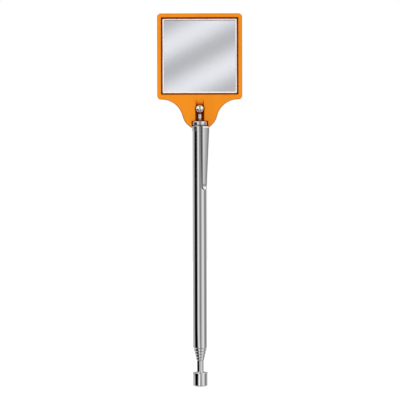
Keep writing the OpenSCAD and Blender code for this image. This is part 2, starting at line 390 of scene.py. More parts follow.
def metal(name, colour, rough, lines, line_depth, tint=0.04, wear=0.05):
    """Metal with fine lines along `lines` (a noise stretch), smudges and a slight tone change."""
    material, graph, shader = new_material(name)
    fine = graph.object_noise(1.0, lines, detail=3.0, roughness=0.6)
    broad = graph.object_noise(220.0, (1, 1, 0.35), detail=4.0, seed=0.7)
    tone = graph.spread(broad, 1 - tint, 1 + tint)
    graph.feed(graph.scaled(colour, tone), shader.inputs["Base Color"])
    shader.inputs["Metallic"].default_value = 1.0
    # Smudges and the fine lines are a little rougher than the rest.
    smudge = graph.step(broad, 0.42, 0.72)
    roughness = graph.math("ADD", rough, graph.math("MULTIPLY", smudge, wear))
    roughness = graph.math("ADD", roughness, graph.math("MULTIPLY", fine, rough * 0.5))
    graph.feed(roughness, shader.inputs["Roughness"])
    graph.feed(graph.bump(fine, line_depth), shader.inputs["Normal"])
    return material


# Distance within which a near surface darkens another
GAP_REACH = 0.0025
# Painted shade: dark red for the ball where its socket hides it
STUD_PAINTED_SHADE = (0.2, 0.06, 0.03, 1)
PLASTIC_PALE = (0.83, 0.258, 0.002, 1)
PLASTIC_FULL = (0.76, 0.228, 0.001, 1)
# Painted shade for the plastic's rounded edges and for its gaps
PLASTIC_PAINTED_EDGE_SHADE = (0.38, 0.1, 0.001, 1)
PLASTIC_PAINTED_GAP_SHADE = (0.6, 0.035, 0.001, 1)


def ball_steel():
    """Satin steel of the ball stud, with painted dark red shade where it sits deep in its socket."""
    material, graph, shader = new_material("stud_steel")
    fine = graph.object_noise(1.0, TURNED, detail=3.0, roughness=0.6)
    broad = graph.object_noise(420.0, detail=3.0, seed=0.4)
    tone = graph.mix(broad, (0.84, 0.84, 0.84, 1), (0.9, 0.9, 0.9, 1))
    # Painted shade: the ball turns dark red where the socket closes round it
    open_part = graph.step(graph.openness(GAP_REACH), 0.74, 0.98)
    graph.feed(graph.mix(open_part, STUD_PAINTED_SHADE, tone), shader.inputs["Base Color"])
    shader.inputs["Metallic"].default_value = 1.0
    graph.feed(graph.spread(fine, 0.1, 0.16), shader.inputs["Roughness"])
    graph.feed(graph.bump(fine, 0.000002), shader.inputs["Normal"])
    return material


def round_edges(graph):
    """1 on the rounded edges between a piece's front or back and its sides, 0 on flat faces."""
    parts = graph.node("ShaderNodeSeparateXYZ")
    graph.feed(graph.node("ShaderNodeTexCoord").outputs["Normal"], parts.inputs[0])
    facing = graph.math("ABSOLUTE", parts.outputs["Y"])
    off_front = graph.step(facing, 0.95, 0.42)
    off_side = graph.step(facing, 0.08, 0.25)
    return graph.math("MULTIPLY", off_front, off_side)


def orange_plastic():
    """Glossy moulded plastic: faint flow marks, painted shade on rounded edges and in gaps,
    fine texture and soft light inside it.
    """
    material, graph, shader = new_material("orange_plastic")
    flow = graph.object_noise(70.0, (1, 1, 0.5), detail=3.0)
    grain = graph.object_noise(5200.0, detail=2.0, seed=0.3)
    waves = graph.object_noise(260.0, detail=2.0, seed=0.9)
    colour = graph.mix(graph.step(flow, 0.3, 0.75), PLASTIC_FULL, PLASTIC_PALE)
    # Painted shade on the rounded edges between the faces and the sides
    colour = graph.mix(round_edges(graph), colour, PLASTIC_PAINTED_EDGE_SHADE)
    # Painted shade deep in gaps and recesses
    open_part = graph.step(graph.openness(GAP_REACH), 0.35, 0.75)
    colour = graph.mix(open_part, PLASTIC_PAINTED_GAP_SHADE, colour)
    graph.feed(colour, shader.inputs["Base Color"])
    shader.inputs["Specular IOR Level"].default_value = 0.2
    roughness = graph.math("ADD", graph.spread(waves, 0.24, 0.34), graph.math("MULTIPLY", grain, 0.05))
    graph.feed(roughness, shader.inputs["Roughness"])
    shader.inputs["Subsurface Weight"].default_value = 0.08
    shader.inputs["Subsurface Radius"].default_value = (1.0, 0.35, 0.08)
    shader.inputs["Subsurface Scale"].default_value = 0.0012
    shader.inputs["IOR"].default_value = 1.5
    relief = graph.bump(grain, 0.000006)
    relief = graph.bump(waves, 0.00002, normal=relief)
    graph.feed(relief, shader.inputs["Normal"])
    return material


def clear_glass():
    """Clear pane with the faintest haze."""
    material, graph, shader = new_material("clear_glass")
    shader.inputs["Base Color"].default_value = (0.965, 0.99, 0.985, 1)
    shader.inputs["Transmission Weight"].default_value = 1.0
    shader.inputs["IOR"].default_value = 1.52
    haze = graph.object_noise(160.0, detail=4.0)
    haze_part = graph.step(haze, 0.5, 0.85)
    graph.feed(graph.spread(haze_part, 0.0, 0.012), shader.inputs["Roughness"])
    return material


def ground_glass():
    """Edges of the pane, ground matt and bright."""
    material, graph, shader = new_material("ground_glass")
    grit = graph.object_noise(9000.0, detail=2.0)
    tone = graph.mix(grit, (0.86, 0.9, 0.9, 1), (0.98, 1.0, 1.0, 1))
    graph.feed(tone, shader.inputs["Base Color"])
    graph.feed(graph.spread(grit, 0.35, 0.55), shader.inputs["Roughness"])
    graph.feed(graph.bump(grit, 0.00001), shader.inputs["Normal"])
    return material


def silvering():
    """Mirror silver, very slightly clouded."""
    material, graph, shader = new_material("silvering")
    cloud = graph.object_noise(45.0, detail=3.0)
    tone = graph.mix(cloud, (0.9, 0.92, 0.94, 1), (0.95, 0.96, 0.97, 1))
    graph.feed(tone, shader.inputs["Base Color"])
    shader.inputs["Metallic"].default_value = 1.0
    graph.feed(graph.spread(cloud, 0.012, 0.03), shader.inputs["Roughness"])
    return material


def foam():
    """Dark closed-cell foam tape."""
    material, graph, shader = new_material("foam")
    cells = graph.object_noise(3500.0, detail=3.0)
    tone = graph.mix(cells, (0.02, 0.02, 0.022, 1), (0.07, 0.07, 0.075, 1))
    graph.feed(tone, shader.inputs["Base Color"])
    graph.feed(graph.spread(cells, 0.75, 0.95), shader.inputs["Roughness"])
    graph.feed(graph.bump(cells, 0.0001), shader.inputs["Normal"])
    return material


CHROME = (0.8, 0.8, 0.797)
chrome_drawn = metal("chrome_drawn", CHROME, 0.03, DRAWN, 0.0000008, wear=0.03)
chrome_turned = metal("chrome_turned", CHROME, 0.03, TURNED, 0.0000008, wear=0.03)
chrome_clip = metal("chrome_clip", CHROME, 0.05, BRUSHED, 0.000002)
bronze = metal("bronze", (0.66, 0.42, 0.2), 0.22, TURNED, 0.000003, tint=0.12, wear=0.12)
spring_steel = metal("spring_steel", (0.5, 0.5, 0.52), 0.28, TURNED, 0.000003, tint=0.1, wear=0.12)
magnet_face = metal("magnet_face", (0.3, 0.3, 0.31), 0.34, GROUND, 0.000006, tint=0.15, wear=0.15)
stud_steel = ball_steel()
# Painted shade: dark metal inside the clip's blade and darker metal on its edges
clip_painted_shade_inside = metal("clip_painted_shade_inside", (0.1, 0.1, 0.1), 0.3, BRUSHED, 0.000004, tint=0.1)
clip_painted_shade_edge = metal("clip_painted_shade_edge", (0.42, 0.42, 0.42), 0.12, BRUSHED, 0.000004, tint=0.1)
# Dark metal for the plug's groove: partly grime, partly painted shade
groove_grime_and_shade = metal("groove_grime_and_shade", (0.06, 0.055, 0.05), 0.4, TURNED, 0.000004, tint=0.2)
plastic = orange_plastic()
pane_clear = clear_glass()
pane_ground = ground_glass()
mirror_silver = silvering()
pad_foam = foam()


# ---------------------------------------------------------------- telescoping sections


def mouth_corners(k, z):
    """Mouth of tube k at height z, rolled in on to the next section: outside, then inside."""
    r = section_r(k)
    lip = section_r(k + 1) + LIP_PLAY
    outside = [
        (lip, z, 0.05 * MM),
        (lip + MOUTH_EDGE, z, 0.1 * MM),
        (r, z + MOUTH_TAPER_H, 0.35 * MM),
    ]
    inside = [
        (r - WALL, z + LIP_H + LIP_RAMP, 0.1 * MM),
        (lip, z + LIP_H - LIP_RAMP, 0.1 * MM),
    ]
    return outside, inside


def beaded_corners(k, top):
    """Inner end of section k, with the two beads that hold its friction sleeve."""
    r = section_r(k)
    bead = section_r(k - 1) - WALL - BEAD_PLAY
    soft = 0.12 * MM
    root = 0.04 * MM
    low = top - 2 * BEAD_H - SLEEVE_H
    return [
        (r, low, root),
        (bead, low, soft),
        (bead, low + BEAD_H, soft),
        (r, low + BEAD_H, root),
        (r, top - BEAD_H, root),
        (bead, top - BEAD_H, soft),
        (bead, top, soft),
    ]


def make_handle_tube():
    """Handle tube, rolled in at its mouth and cut square at the top."""
    outside, inside = mouth_corners(1, handle_low.z)
    ends = [(HANDLE_R, TUBE_TOP, 0.05 * MM), (HANDLE_R - WALL, TUBE_TOP, 0.05 * MM)]
    obj = lathe("handle_tube", rounded(outside + ends + inside))
    place(obj, "handle", "chrome", chrome_drawn, "outer_tube")


def make_inner_tube(k):
    """Sliding tube k, with its mouth at the bottom and its beads at the top."""
    node = f"tube_{k}"
    low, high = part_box(node)
    outside, inside = mouth_corners(k, low.z)
    ends = beaded_corners(k, high.z) + [(section_r(k) - WALL, high.z, 0.05 * MM)]
    obj = lathe(f"drawn_tube_{k}", rounded(outside + ends + inside))
    place(obj, f"section_{k}", "chrome", chrome_drawn, node)


def make_rod():
    """Solid rod, the thinnest section."""
    low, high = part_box("magnet_rod")
    corners = [(0, low.z, 0), (section_r(6), low.z, 0.15 * MM)]
    corners += beaded_corners(6, high.z) + [(0, high.z, 0)]
    obj = lathe("thin_rod", rounded(corners))
    place(obj, "magnet_end", "chrome", chrome_drawn, "magnet_rod")


def make_cup():
    """Cup round the magnet, with a countersunk hole for the rod, and the magnet in it."""
    low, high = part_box("magnet_cup")
    face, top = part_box("magnet")
    cavity = top.x + PRESS_PLAY
    hole = section_r(6) + PRESS_PLAY
    floor = top.z + 0.05 * MM
    corners = [
        (cavity, low.z, 0.1 * MM),
        (high.x, low.z, 0.55 * MM),
        (high.x, high.z, 0.35 * MM),
        (section_r(6) + 0.55 * MM, high.z, 0.1 * MM),
        (hole, high.z - 0.3 * MM, 0.1 * MM),
        (hole, floor, 0),
        (cavity, floor, 0),
    ]
    place(lathe("cup", rounded(corners)), "magnet_end", "cup_chrome", chrome_turned, "magnet_cup")
    edge = 0.18 * MM
    disc = [(0, face.z, 0), (top.x, face.z, edge), (top.x, top.z, edge), (0, top.z, 0)]
    place(lathe("magnet_disc", rounded(disc)), "magnet_end", "magnet_nickel", magnet_face, "magnet")


# ---------------------------------------------------------------- handle's top end


# The plug's shoulder stands on the tube; a narrow groove, painted dark for grime and for shade, parts it
# from the collar.
SHOULDER_H = 0.3 * MM
SEAM_H = 0.45 * MM
SEAM_DEPTH = 0.4 * MM
# The shoulder's underside is just clear of the tube's end.
SHOULDER_LIFT = 0.01 * MM
SHANK_PLAY = 0.05 * MM


def make_plug():
    """Turned plug in the handle's top end, bored for the stud."""
    body = HANDLE_R - WALL - PRESS_PLAY
    bore = STEM_R + SHANK_PLAY
    shoulder_z = TUBE_TOP + SHOULDER_LIFT
    seam_low = TUBE_TOP + SHOULDER_H
    seam_high = seam_low + SEAM_H
    seam_r = HANDLE_R - SEAM_DEPTH
    corners = [
        (bore, plug_low.z, 0.1 * MM),
        (body, plug_low.z, 0.2 * MM),
        (body, shoulder_z, 0),
        (HANDLE_R, shoulder_z, 0.05 * MM),
        (HANDLE_R, seam_low, 0.08 * MM),
        (seam_r, seam_low, 0.08 * MM),
        (seam_r, seam_high, 0.08 * MM),
        (COLLAR_R, seam_high, 0.12 * MM),
        (COLLAR_R, HANDLE_TOP, 0.4 * MM),
        (bore + 0.5 * MM, HANDLE_TOP, 0.1 * MM),
        (bore, HANDLE_TOP - 0.3 * MM, 0.1 * MM),
    ]
    obj = lathe("plug", rounded(corners))
    place(obj, "handle", "chrome", chrome_turned, "top_plug")
    # Grime and painted shade on the groove's faces
    obj.data.materials.append(groove_grime_and_shade)
    for face in obj.data.polygons:
        in_groove = seam_low < face.center.z < seam_high
        far_out = math.hypot(face.center.x, face.center.y) > HANDLE_R
        face.material_index = 1 if in_groove and not far_out else 0


NECK_R = 1.0 * MM
STUD_COLLAR_R = 1.7 * MM
STUD_COLLAR_H = 0.5 * MM
RETAINER_GROOVE_R = 1.0 * MM
RETAINER_GROOVE_H = 0.76 * MM


def make_stud():
    """Ball, neck, stem, small collar and the shank with the retainer's groove."""
    neck_low = BALL_Z - BALL_R - 0.45 * MM
    collar_z = HANDLE_TOP + 0.06 * MM
    groove_high = plug_low.z - 0.07 * MM
    groove_low = groove_high - RETAINER_GROOVE_H
    neck_angle = -90 + math.degrees(math.asin(NECK_R / BALL_R))
    corners = [
        (0, stud_low.z, 0),
        (STEM_R, stud_low.z, 0.2 * MM),
        (STEM_R, groove_low, 0),
        (RETAINER_GROOVE_R, groove_low, 0),
        (RETAINER_GROOVE_R, groove_high, 0),
        (STEM_R, groove_high, 0),
        (STEM_R, collar_z, 0),
        (STUD_COLLAR_R, collar_z, 0.12 * MM),
        (STUD_COLLAR_R, collar_z + STUD_COLLAR_H, 0.12 * MM),
        (STEM_R, collar_z + STUD_COLLAR_H, 0.1 * MM),
        (STEM_R, neck_low, 0.3 * MM),
        (NECK_R, neck_low + 0.2 * MM, 0.15 * MM),
    ]
    # The ball's own arc ends the outline, so the neck's upper guard point is left out.
    outline = rounded(corners)[:-1] + arc(0, BALL_Z, BALL_R, neck_angle, 90, 40)
    place(lathe("stud", outline), "stud", "chrome", stud_steel, "ball_stud")


make_handle_tube()
for number in (2, 3, 4, 5):
    make_inner_tube(number)
make_rod()
make_cup()
make_plug()
make_stud()


# ---------------------------------------------------------------- mirror head

# Radii of the outline and of its edges
EDGE_R = 1.0 * MM
LOBE_EDGE_R = 1.7 * MM
CORNER_R = 2.2 * MM
FILLET_R = 13 * MM
# Small rounding where a recess opens in a face
LIP = 0.22 * MM
# Pocket of the pane
POCKET_HALF = 23.2 * MM
POCKET_DEPTH = 3.4 * MM
POCKET_CORNER = 0.6 * MM
# Ball socket, slot of the stem, ramp above the ball and trough over the handle's top
SOCKET_R = BALL_R + 0.05 * MM
SOCKET_LIP_R = BALL_R + 0.3 * MM
SOCKET_LIP_DEPTH = 0.45 * MM
GROOVE_R = 2.65 * MM
RAMP_HALF = 2.4 * MM
RAMP_FOOT = 1.0 * MM
RAMP_H = 6.3 * MM
TROUGH_R = 4.85 * MM
TROUGH_TOP = HANDLE_TOP + 0.35 * MM
# Round boss on the back, sunk field in the square's back, ejector pin marks and gate mark
BOSS_R = LOBE_R - 0.5 * MM
BOSS_EDGE_R = 0.7 * MM
BACK_FIELD_HALF = 21.4 * MM
BACK_FIELD_CORNER = 2.0 * MM
BACK_FIELD_DEPTH = 0.35 * MM
PIN_REACH = 15 * MM
PIN_R = 1.6 * MM
PIN_DEPTH = 0.1 * MM
GATE_R = 1.3 * MM
GATE_DEPTH = 0.25 * MM
# How far a cutter stands out of the face that it cuts
OUT = 1.0 * MM


def arc_with_normals(cx, cz, r, start, end, steps, inward):
    """Arc points with the direction into the body at each: -1 towards the centre, 1 away."""
    made = []
    for i in range(steps + 1):
        a = math.radians(start + (end - start) * i / steps)
        out = Vector((math.cos(a), math.sin(a)))
        made.append((Vector((cx, cz)) + out * r, out * inward))
    return made


def head_outline():
    """Outline of the head in X and Z, with inward directions, clockwise from the top corner.

    The arcs that meet at the square's lower corner and at the lobe's end stop a few degrees
    short, so that no two points coincide.
    """
    fillet_z = FRAME_BOTTOM - FILLET_R
    rise = LOBE_Z - fillet_z
    fillet_x = math.sqrt((LOBE_R + FILLET_R) ** 2 - rise ** 2)
    tangent = math.degrees(math.atan2(rise, fillet_x))
    corner = HALF_W - CORNER_R
    half = arc_with_normals(corner, FRAME_TOP - CORNER_R, CORNER_R, 90, 0, 10, -1)
    half += arc_with_normals(corner, FRAME_BOTTOM + CORNER_R, CORNER_R, 0, -86, 10, -1)
    half += arc_with_normals(fillet_x, fillet_z, FILLET_R, 90, 180 - tangent, 20, 1)
    half += arc_with_normals(0, LOBE_Z, LOBE_R, -tangent - 3, -89, 26, -1)
    other = [(Vector((-p.x, p.y)), Vector((-n.x, n.y))) for p, n in reversed(half)]
    return half + other


def front_edge(z):
    """Radius of the front edge: larger round the lobe than round the square."""
    t = (FRAME_BOTTOM - z) / (FRAME_BOTTOM - LOBE_Z)
    t = max(0.0, min(1.0, t))
    t = t * t * (3 - 2 * t)
    return EDGE_R + (LOBE_EDGE_R - EDGE_R) * t


def back_edge(_z):
    """Radius of the back edge, the same all round."""
    return EDGE_R


def edge_loop(outline, radius_at, angle, face_y, into):
    """Outline at one angle of its edge rounding; into is 1 from the front and -1 from the back."""
    loop = []
    for p, n in outline:
        r = radius_at(p.y)
        at = p + n * (r * (1 - math.cos(angle)))
        loop.append((at.x, face_y + into * r * (1 - math.sin(angle)), at.y))
    return loop


def head_slab():
    """Solid of the head's outline, with rounded front and back edges."""
    outline = head_outline()
    steps = 6
    angles = [math.radians(90 * i / steps) for i in range(steps + 1)]
    loops = [edge_loop(outline, front_edge, a, FRONT_Y, 1) for a in reversed(angles)]
    loops += [edge_loop(outline, back_edge, a, BACK_Y, -1) for a in angles]
    return skin("mirror_head_frame", loops)


def along_y(obj):
    """Turns a lathed solid so that its axis lies along +Y, through the ball's height."""
    turn = Matrix(((1, 0, 0, 0), (0, 0, 1, 0), (0, -1, 0, BALL_Z), (0, 0, 0, 1)))
    obj.data.transform(turn)
    return obj


def rear_boss():
    """Round boss behind the socket, rooted in the slab."""
    root_y = BACK_Y - 2 * MM
    outline = rounded([
        (0, root_y, 0),
        (BOSS_R, root_y, 0),
        (BOSS_R, BOSS_Y, BOSS_EDGE_R),
        (0, BOSS_Y, 0),
    ])
    obj = along_y(lathe("boss", outline))
    obj.data.transform(Matrix.Translation((0, 0, LOBE_Z - BALL_Z)))
    return obj


def square_loop(half, corner, y):
    """Square with rounded corners round the mirror's middle, at one depth."""
    a = half - corner
    loop = []
    for cx, cz, start in ((a, a, 90), (a, -a, 0), (-a, -a, -90), (-a, a, -180)):
        loop += [(x, y, z) for x, z in arc(cx, MIRROR_Z + cz, corner, start, start - 90, 5)]
    return loop


def square_cutter(name, half, corner, face_y, depth, out):
    """Cutter for a square recess with a rounded lip; out is -1 on the front and 1 on the back."""
    loops = [square_loop(half + LIP, corner + LIP, face_y + out * OUT)]
    for i in range(5):
        a = math.radians(90 * i / 4)
        grow = LIP * (1 - math.sin(a))
        sink = LIP * (1 - math.cos(a))
        loops.append(square_loop(half + grow, corner + grow, face_y - out * sink))
    loops.append(square_loop(half, corner, face_y - out * depth))
    return skin(name, loops)


def round_mark(x, z, r, floor_y):
    """Cutter for a shallow round mark in the back, such as an ejector pin leaves."""
    outline = [(0, floor_y, 0), (r, floor_y, 0.05 * MM), (r, floor_y + OUT, 0), (0, floor_y + OUT, 0)]
    obj = along_y(lathe("round_mark", rounded(outline), 48))
    obj.data.transform(Matrix.Translation((x, 0, z - BALL_Z)))
    return obj


def back_cutters():
    """Sunk field on the square's back with its four pin marks, and the gate mark on the boss."""
    floor_y = BACK_Y - BACK_FIELD_DEPTH
    field = (BACK_FIELD_HALF, BACK_FIELD_CORNER, BACK_Y, BACK_FIELD_DEPTH)
    cutters = [square_cutter("back_field", *field, 1)]
    for x in (-PIN_REACH, PIN_REACH):
        for z in (MIRROR_Z - PIN_REACH, MIRROR_Z + PIN_REACH):
            cutters.append(round_mark(x, z, PIN_R, floor_y - PIN_DEPTH))
    cutters.append(round_mark(0, LOBE_Z, GATE_R, BOSS_Y - GATE_DEPTH))
    return cutters


def socket_cutter():
    """Ball seat, open to the front through a conical lip narrower than the ball."""
    lip = arc(SOCKET_LIP_R + LIP, FRONT_Y + LIP, LIP, -90, -180, 5)
    meet = FRONT_Y + SOCKET_LIP_DEPTH
    start = math.degrees(math.atan2(meet, math.sqrt(SOCKET_R ** 2 - meet ** 2)))
    seat = arc(0, 0, SOCKET_R, start, 90, 24)
    outline = [(0, FRONT_Y - OUT), (SOCKET_LIP_R + LIP, FRONT_Y - OUT)]
    outline += lip + [(SOCKET_LIP_R - SOCKET_LIP_DEPTH, meet)] + seat
    return along_y(lathe("socket", outline))


def slot_section(half, floor, lip):
    """Half of a slot's section in X and Y, open to the front, with a rounded lip."""
    points = [(half + lip, FRONT_Y - OUT)]
    points += [(x, y) for x, y in arc(half + lip, FRONT_Y + lip, lip, -90, -180, 4)]
    return points + floor


def slot_loop(half_points, z):
    """Whole section of a slot at one height."""
    points = half_points + [(-x, y) for x, y in reversed(half_points)]
    return [(x, y, z) for x, y in points]


def round_slot(name, r, low, high):
    """Slot with a round floor on the tool's axis."""
    floor = arc(0, 0, r, 0, 85, 16)
    half = slot_section(r, floor, LIP)
    return skin(name, [slot_loop(half, low), slot_loop(half, high)])


def ramp_section(floor_y):
    """Half of the ramp's section, with a soft corner while its floor is below the face."""
    depth = floor_y - FRONT_Y
    if depth <= 0:
        return flat_section(floor_y)
    lip = min(LIP, depth * 0.4)
    bend = min(0.5 * MM, depth * 0.4)
    corner = arc(RAMP_HALF - bend, floor_y - bend, bend, 0, 90, 4)
    return slot_section(RAMP_HALF, corner, lip)


def flat_section(floor_y):
    """Half of the ramp's section above its end, with as many points as below it."""
    count = 10
    shares = [1 - 0.3 * i / count for i in range(count)]
    return [(RAMP_HALF, FRONT_Y - OUT)] + [(RAMP_HALF * share, floor_y) for share in shares]


def ramp_cutter():
    """Ramp for the stem: its floor rises from inside the socket out through the front face."""
    foot_z, foot_y = BALL_Z + RAMP_FOOT, RAMP_FOOT
    rise = RAMP_H - RAMP_FOOT
    loops = []
    steps = 14
    for i in range(steps + 1):
        up = (rise + OUT) * i / steps
        floor_y = foot_y + (FRONT_Y - foot_y) * up / rise
        loops.append(slot_loop(ramp_section(floor_y), foot_z + up))
    return skin("ramp", loops)


def make_head():
    """Mirror head: slab and boss, less the pocket, the socket, the slots and the back's marks."""
    obj = head_slab()
    combine(obj, rear_boss(), "UNION")
    cutters = [
        square_cutter("pocket", POCKET_HALF, POCKET_CORNER, FRONT_Y, POCKET_DEPTH, -1),
        socket_cutter(),
        round_slot("groove", GROOVE_R, TROUGH_TOP - OUT, BALL_Z - 1 * MM),
        round_slot("trough", TROUGH_R, LOBE_Z - LOBE_R - OUT, TROUGH_TOP),
        ramp_cutter(),
    ]
    for cutter in cutters + back_cutters():
        combine(obj, cutter, "DIFFERENCE")
    shade(obj)
    even_normals(obj)
    place(obj, "mirror_head", "orange_plastic", plastic, "mirror_frame")


GLASS_BEVEL = 0.75 * MM
GLASS_BEVEL_D = 0.45 * MM
GLASS_CORNER = 0.35 * MM
# Air between the pane and the silver, so that their faces don't coincide
GLASS_BACK_GAP = 0.02 * MM


def make_glass():
    """Square pane; its edges and the bevel round its face are ground."""
    half = glass_high.x
    corner = GLASS_CORNER
    front = glass_low.y
    back = glass_high.y - GLASS_BACK_GAP
    loops = [
        square_loop(half - GLASS_BEVEL, corner, front),
        square_loop(half - 0.08 * MM, corner + 0.2 * MM, front + GLASS_BEVEL_D),
        square_loop(half, corner + 0.2 * MM, front + GLASS_BEVEL_D + 0.1 * MM),
        square_loop(half, corner + 0.2 * MM, back - 0.2 * MM),
        square_loop(half - 0.2 * MM, corner, back),
    ]
    obj = skin("pane", loops)
    flat_faces(obj)
    place(obj, "mirror_head", "pane_glass", pane_clear, "mirror_glass")
    obj.data.materials.append(pane_ground)
    for face in obj.data.polygons:
        face.material_index = 0 if abs(face.normal.y) > 0.99 else 1


def make_silvering():
    """Silver layer, just behind the pane."""
    low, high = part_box("mirror_silvering")
    half = high.x
    corner = 0.3 * MM
    soft = 0.02 * MM
    loops = [
        square_loop(half - soft, corner, low.y),
        square_loop(half, corner, low.y + soft),
        square_loop(half, corner, high.y),
    ]
    obj = skin("silver_layer", loops)
    flat_faces(obj)
    place(obj, "mirror_head", "silvering", mirror_silver, "mirror_silvering")


# ---------------------------------------------------------------- pocket clip

CLIP_TURN = math.radians(32)
CLIP_T = 0.45 * MM
CLIP_W = 5.4 * MM
CLIP_TIP_W = 3.2 * MM
CLIP_TOP = TUBE_TOP + 0.2 * MM
CLIP_RING_H = 3 * MM
CLIP_RING_R = HANDLE_R + 0.3 * MM
CLIP_ROOT_R = HANDLE_R + 2.4 * MM
CLIP_TIP_R = HANDLE_R + 0.95 * MM
CLIP_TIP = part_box("pocket_clip")[0].z
# The blade's closest point to the tube, with the dimple, above its tip
CLIP_KNEE = CLIP_TIP + 2.4 * MM
CLIP_FLICK = 0.2 * MM
CLIP_SPACING = 0.28 * MM
CLIP_ARCH = 0.16 * MM
CLIP_SLOPE_W = 0.62 * MM
DIMPLE_R = 1.15 * MM
DIMPLE_DEPTH = 0.44 * MM
# Share of a face's normal along the blade's outside or its side that picks where shade is painted on the
# face
INSIDE_BELOW = 0.25
EDGE_ABOVE = 0.19


def walk(points, spacing):
    """Points at even distances along an open line, each with its direction."""
    made = []
    carry = 0.0
    for a, b in zip(points, points[1:]):
        a, b = Vector(a), Vector(b)
        length = (b - a).length
        way = (b - a) / length
        at = carry
        while at < length:
            made.append((a + way * at, way))
            at += spacing
        carry = at - length
    made.append((Vector(points[-1]), made[-1][1]))
    return made


def clip_line():
    """Middle line of the blade in (distance from the axis, height)."""
    half = CLIP_T / 2
    # The last corner only closes the outline for rounding, and is dropped.
    corners = [
        (HANDLE_R + 0.15 * MM, CLIP_TOP - half, 0),
        (CLIP_ROOT_R - half, CLIP_TOP - half, 0.8 * MM),
        (CLIP_TIP_R - half, CLIP_KNEE, 3 * MM),
        (CLIP_TIP_R + CLIP_FLICK - half, CLIP_TIP, 0),
        (HANDLE_R - 4 * MM, CLIP_TIP - 4 * MM, 0),
    ]
    return walk(rounded(corners)[:-1], CLIP_SPACING)


def blade_half_width(left):
    """Half width of the blade at a distance from its tip."""
    total = CLIP_TOP - CLIP_TIP
    t = min(1.0, left / total)
    half = (CLIP_TIP_W + (CLIP_W - CLIP_TIP_W) * t) / 2
    nose = CLIP_TIP_W / 2
    if left < nose:
        half *= math.sqrt(max(0.0, 1 - (1 - left / nose) ** 2))
    return max(half, 0.25 * MM)


def blade_section(half):
    """Rounded strip as (across, out) points, arched towards the outside, with sloping edges."""
    edge = CLIP_T / 2
    slope_w = min(CLIP_SLOPE_W, 0.35 * half)
    flat = half - slope_w
    count = 16
    across = [flat * (2 * i / count - 1) for i in range(count + 1)]
    outer = [(u, edge) for u in across]
    inner = [(u, -edge) for u in reversed(across)]
    right = [(half - edge * 0.3, edge * 0.45), (half, 0), (half - edge * 0.25, -edge * 0.72)]
    left = [(-half + edge * 0.25, -edge * 0.72), (-half, 0), (-half + edge * 0.3, edge * 0.45)]
    points = outer + right + inner + left
    arch = CLIP_ARCH * min(1.0, half / (CLIP_W / 2))
    return [(u, v - arch * (u / half) ** 2) for u, v in points]


clip_out = Vector((math.sin(CLIP_TURN), -math.cos(CLIP_TURN), 0))
clip_side = Vector((math.cos(CLIP_TURN), math.sin(CLIP_TURN), 0))


def clip_blade():
    """Blade skinned along its middle line, with the dimple pressed in at the knee."""
    line = clip_line()
    length = sum((b[0] - a[0]).length for a, b in zip(line, line[1:]))
    up = Vector((0, 0, 1))
    loops = []
    gone = 0.0
    for i, (at, way) in enumerate(line):
        if i:
            gone += (at - line[i - 1][0]).length
        across = Vector((-way.y, way.x))
        upright = abs(way.y) > 0.5
        loop = []
        for u, v in blade_section(blade_half_width(length - gone)):
            away = math.hypot(u, at.y - CLIP_KNEE) / DIMPLE_R
            dent = DIMPLE_DEPTH * math.cos(min(away, 1.0) * math.pi / 2) ** 2
            spot = at + across * (v - dent * upright)
            loop.append(clip_out * spot.x + up * spot.y + clip_side * u)
        loops.append(loop)
    return skin("clip", loops, SHARP_SHEET)


def clip_ring():
    """Band of the clip round the top of the tube."""
    inner = HANDLE_R + PRESS_PLAY
    low = CLIP_TOP - CLIP_RING_H
    return lathe("clip_ring", rounded([
        (inner, low, 0.02 * MM),
        (CLIP_RING_R, low, 0.22 * MM),
        (CLIP_RING_R, CLIP_TOP, 0.12 * MM),
        (inner, CLIP_TOP, 0.05 * MM),
    ]))


def blade_painted_shade_index(face):
    """Material index of a face: 0 on the ring and the blade's outside, 1 for the painted shade inside, 2
    for the painted shade on its edges.
    """
    near = 0.05 * MM
    beyond_ring = math.hypot(face.center.x, face.center.y) > CLIP_RING_R + near
    below_ring = face.center.z < CLIP_TOP - CLIP_RING_H - near
    if not (beyond_ring or below_ring):
        return 0
    if face.normal.dot(clip_out) < INSIDE_BELOW:
        return 1
    return 2 if abs(face.normal.dot(clip_side)) > EDGE_ABOVE else 0


def make_clip():
    """Pocket clip: ring and blade in one piece, with painted shade inside the blade and on its edges."""
    obj = clip_blade()
    combine(obj, clip_ring(), "UNION")
    shade(obj, SHARP_SHEET)
    place(obj, "handle", "chrome", chrome_clip, "pocket_clip")
    obj.data.materials.append(clip_painted_shade_inside)
    obj.data.materials.append(clip_painted_shade_edge)
    # Painted shade inside the blade and on its edges
    for face in obj.data.polygons:
        face.material_index = blade_painted_shade_index(face)


make_head()
make_glass()
make_silvering()
make_clip()

INNER_PARTS = {
    "glass_pad": pad_foam,
    "stud_retainer": spring_steel,
    "friction_sleeve_2": bronze,
    "friction_sleeve_3": bronze,
    "friction_sleeve_4": bronze,
    "friction_sleeve_5": bronze,
    "friction_sleeve_6": bronze,
}
for node_name, node_material in INNER_PARTS.items():
    mesh_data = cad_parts[node_name].data
    mesh_data.materials.clear()
    mesh_data.materials.append(node_material)


# ---------------------------------------------------------------- stage, light and camera

# What shiny metal sees round the horizon: (degrees from the viewer's side, brightness).
STUDIO_BANDS = [
    (-180, 0.5), (-150, 0.55), (-129, 0.64), (-110, 0.5), (-98, 0.28), (-88, 0.04),
    (-84, 0.0), (-52, 0.0), (-47, 0.15), (-42, 0.45), (-34, 0.85), (-26, 1.0), (-19, 0.75),
    (-11, 0.48), (-3, 0.29), (5, 0.22), (12, 0.32), (20, 0.54), (30, 0.76), (40, 0.88),
    (52, 0.9), (60, 0.7), (67, 0.45), (75, 0.27), (92, 0.23), (102, 0.4), (117, 0.68),
    (132, 0.95), (150, 1.1), (180, 1.0),
]

